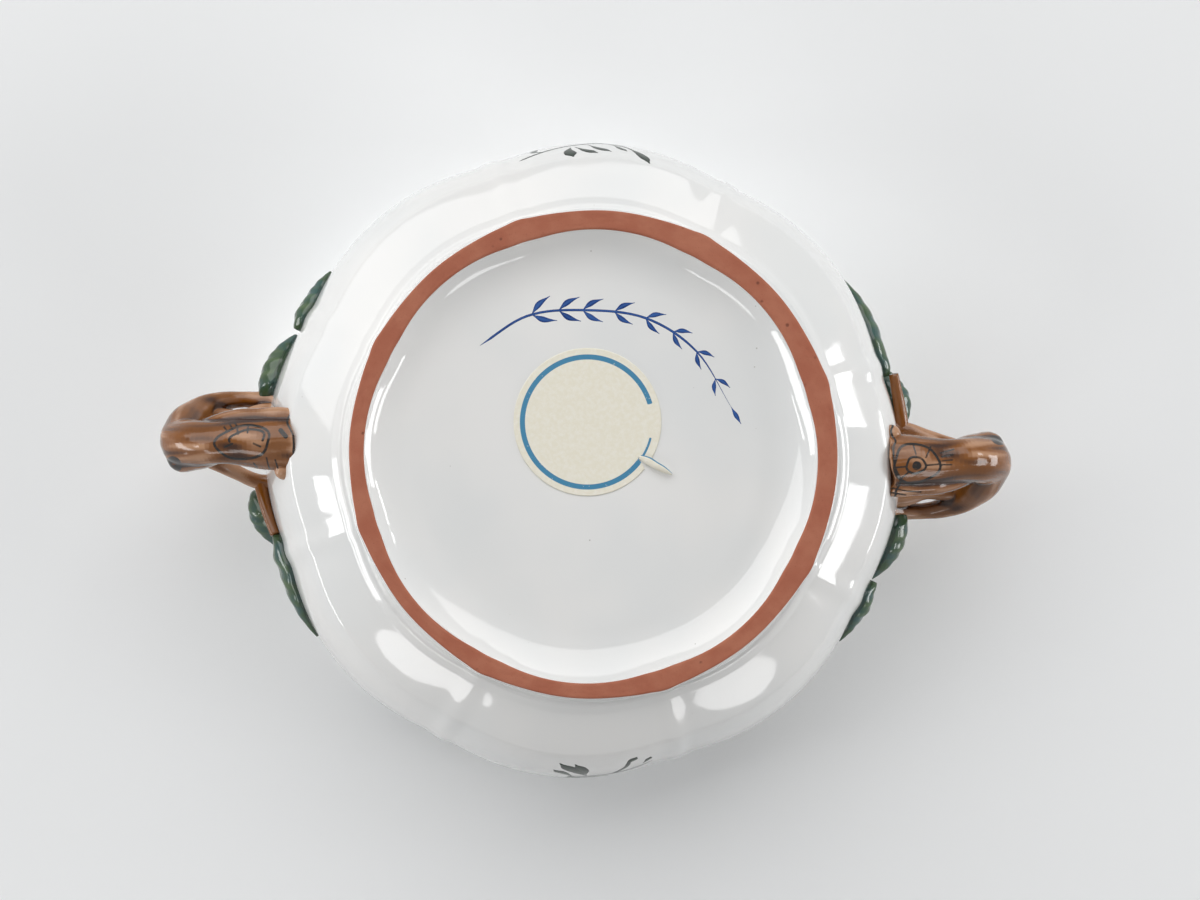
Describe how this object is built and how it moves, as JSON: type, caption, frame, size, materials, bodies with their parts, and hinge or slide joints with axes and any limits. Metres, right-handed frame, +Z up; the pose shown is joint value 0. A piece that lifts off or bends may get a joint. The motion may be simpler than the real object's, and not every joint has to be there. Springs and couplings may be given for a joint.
{
  "type": "lidded bowl",
  "caption": "Lobed round earthenware bowl on a bare foot ring, with branch handles, relief leaves and a domed lift-off lid with a twig knob.",
  "frame": {"origin": "middle of the foot ring's standing face, on the table", "axes": "+Z up along the bowl's axis, +X out along the right handle"},
  "size_m": [0.229, 0.181, 0.1281],
  "materials": {
    "glaze_white": "glossy white tin glaze",
    "bare_clay": "unglazed red clay",
    "bark_glaze": "glossy brown glaze with painted bark lines",
    "leaf_glaze": "glossy dark green glaze",
    "label_paper": "matt cream paper with a printed blue ring"
  },
  "bodies": {
    "bowl": {"bowl_body": "glaze_white", "foot_ring": "bare_clay", "base_label": "label_paper", "handle_branch_right": "bark_glaze", "leaf_stem_right": "bark_glaze", "leaf_right_1": "leaf_glaze", "leaf_right_2": "leaf_glaze", "leaf_right_3": "leaf_glaze", "leaf_right_4": "leaf_glaze", "handle_branch_left": "bark_glaze", "leaf_stem_left": "bark_glaze", "leaf_left_1": "leaf_glaze", "leaf_left_2": "leaf_glaze", "leaf_left_3": "leaf_glaze", "leaf_left_4": "leaf_glaze"},
    "lid": {"lid_shell": "glaze_white", "knob_branch": "bark_glaze", "knob_leaf_1": "leaf_glaze", "knob_leaf_2": "leaf_glaze", "knob_leaf_3": "leaf_glaze", "knob_leaf_4": "leaf_glaze"}
  },
  "joints": [
    {"name": "lid_lift", "type": "slide", "parent": "bowl", "child": "lid", "axis": [0, 0, 1], "range_m": [0, 0.12]}
  ]
}
